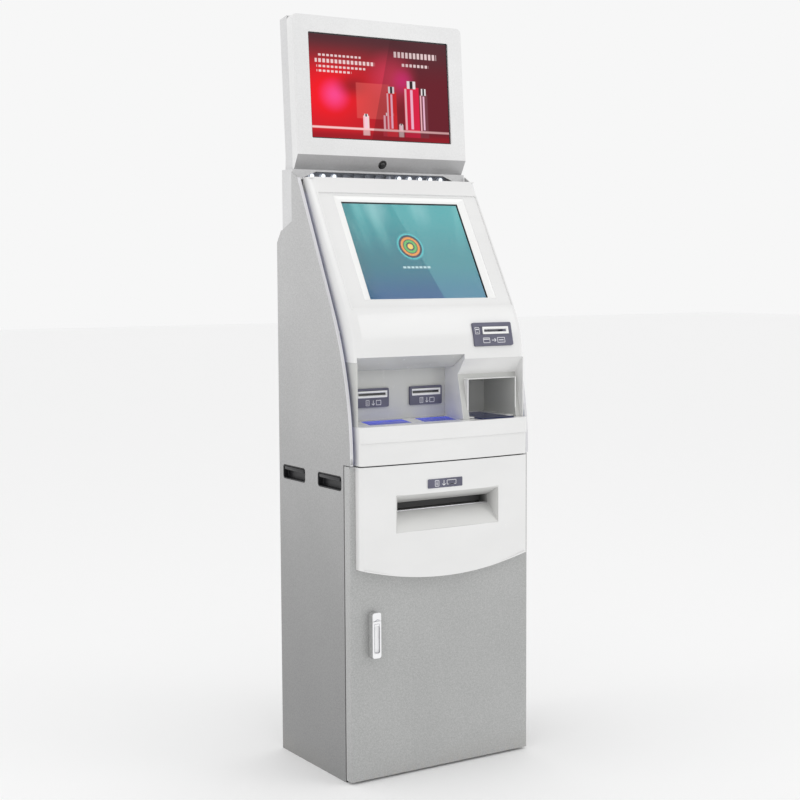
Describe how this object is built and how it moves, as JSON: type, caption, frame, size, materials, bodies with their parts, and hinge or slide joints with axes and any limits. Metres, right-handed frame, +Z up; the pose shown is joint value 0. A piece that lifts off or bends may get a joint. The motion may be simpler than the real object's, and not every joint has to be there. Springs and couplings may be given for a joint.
{
  "type": "self-service bank kiosk",
  "caption": "Free-standing self-service bank terminal with sloping touch screen, upper display on a neck, receipt shelf, card and document readers and a lockable lower door.",
  "frame": {"origin": "on the floor, under the middle of the bounding box", "axes": "+Z up, +X to the right of a person facing the screen, +Y to the back; the user stands on the -Y side"},
  "size_m": [0.52, 0.388, 1.855],
  "materials": {
    "white_moulding": "smooth glossy white moulding",
    "white_paint": "semi-gloss white paint",
    "head_paint": "semi-gloss light grey paint",
    "silver_paint": "fine silver-grey powder coat",
    "side_paint": "fine grey powder coat",
    "dark_paint": "dark grey powder coat",
    "zinc": "zinc-plated sheet",
    "steel": "bright steel",
    "black_plastic": "matte black",
    "slate_plastic": "satin slate violet",
    "chute_plastic": "satin grey",
    "equipment": "dark grey equipment case",
    "printer_shell": "satin light grey",
    "red_plastic": "gloss red",
    "tinted_strip": "tinted violet-blue",
    "light_cover": "clear tinted cover",
    "lamp": "lit white lamps",
    "screen_glass": "clear cover glass",
    "touch_picture": "lit display, teal",
    "upper_picture": "lit display, red",
    "blue_window": "clear blue window",
    "navy_window": "dark blue window",
    "paper": "thermal paper",
    "lock_metal": "satin grey",
    "lock_lever": "bright satin lever"
  },
  "bodies": {
    "cabinet": {"base_plate": "dark_paint", "side_panel_left": "side_paint", "side_panel_right": "side_paint", "side_pulls": "black_plastic", "edge_rails": "white_paint", "groove_strips": "tinted_strip", "rear_panel": "side_paint", "rear_screws": "zinc", "front_frame": "zinc", "printer_shelf": "zinc", "computer_shelf": "zinc", "neck_housing": "head_paint", "neck_light_cover": "light_cover", "neck_lamp_bar": "lamp", "console_top_plate": "white_paint", "head_rear_cover": "head_paint", "head_front_frame": "white_paint", "upper_display": "upper_picture", "camera_module": "black_plastic", "computer": "equipment", "power_supply": "equipment", "power_inlet": "black_plastic", "fan_frame": "black_plastic", "document_printer": "printer_shell", "paper_cassette": "printer_shell", "door_hinge_frame_leaves": "zinc", "fascia_hinge_brackets": "zinc", "fascia_hinge_pins": "steel"},
    "door": {"door_panel": "silver_paint", "print_panel": "white_moulding", "print_chute": "chute_plastic", "print_label": "slate_plastic", "door_hinge_door_leaves": "zinc", "lock_escutcheon": "lock_metal"},
    "lock": {"lock_handle": "lock_lever", "lock_cam": "steel"},
    "fascia": {"fascia_shell": "white_moulding", "brow_panel": "white_moulding", "touch_bezel": "white_moulding", "touch_glass": "screen_glass", "touch_display": "touch_picture", "card_bezel": "slate_plastic", "card_reader": "equipment", "alcove_shell": "white_moulding", "shelf_apron": "white_moulding", "shelf_windows": "blue_window", "reader_hood": "white_moulding", "reader_window": "navy_window", "document_reader": "equipment", "receipt_bezel_left": "slate_plastic", "receipt_bezel_right": "slate_plastic", "receipt_printer_left": "equipment", "receipt_printer_right": "equipment", "fascia_hinge_arms": "zinc"},
    "stay": {"prop_stay": "zinc"},
    "shutter": {"card_shutter": "steel"},
    "roll_left": {"paper_roll_left": "paper"},
    "roll_right": {"paper_roll_right": "paper"},
    "rotor": {"fan_rotor": "black_plastic"},
    "rocker": {"mains_switch": "red_plastic"}
  },
  "joints": [
    {"name": "door_hinge", "type": "hinge", "parent": "cabinet", "child": "door", "pos_m": [0.256, -0.1265, 0.39], "axis": [0, 0, 1], "range_deg": [0, 95]},
    {"name": "lock_turn", "type": "hinge", "parent": "door", "child": "lock", "pos_m": [-0.199, -0.156, 0.395], "axis": [0, -1, 0], "range_deg": [0, 90]},
    {"name": "fascia_lift", "type": "hinge", "parent": "cabinet", "child": "fascia", "pos_m": [0, 0.091, 1.45], "axis": [-1, 0, 0], "range_deg": [0, 55]},
    {"name": "stay_swing", "type": "hinge", "parent": "fascia", "child": "stay", "pos_m": [0.231, -0.046, 1.18], "axis": [1, 0, 0], "range_deg": [0, 90]},
    {"name": "shutter_slide", "type": "slide", "parent": "fascia", "child": "shutter", "axis": [0, 0.2339, 0.9723], "range_m": [0, 0.009]},
    {"name": "roll_left_spin", "type": "hinge", "parent": "fascia", "child": "roll_left", "pos_m": [-0.15, 0.034, 0.925], "axis": [1, 0, 0], "continuous": true},
    {"name": "roll_right_spin", "type": "hinge", "parent": "fascia", "child": "roll_right", "pos_m": [0.005, 0.034, 0.925], "axis": [1, 0, 0], "continuous": true},
    {"name": "fan_spin", "type": "hinge", "parent": "cabinet", "child": "rotor", "pos_m": [0.12, 0.179, 0.415], "axis": [0, 1, 0], "continuous": true},
    {"name": "switch_rock", "type": "hinge", "parent": "cabinet", "child": "rocker", "pos_m": [0.12, 0.187, 0.07], "axis": [0, 0, 1], "range_deg": [0, 16]}
  ]
}
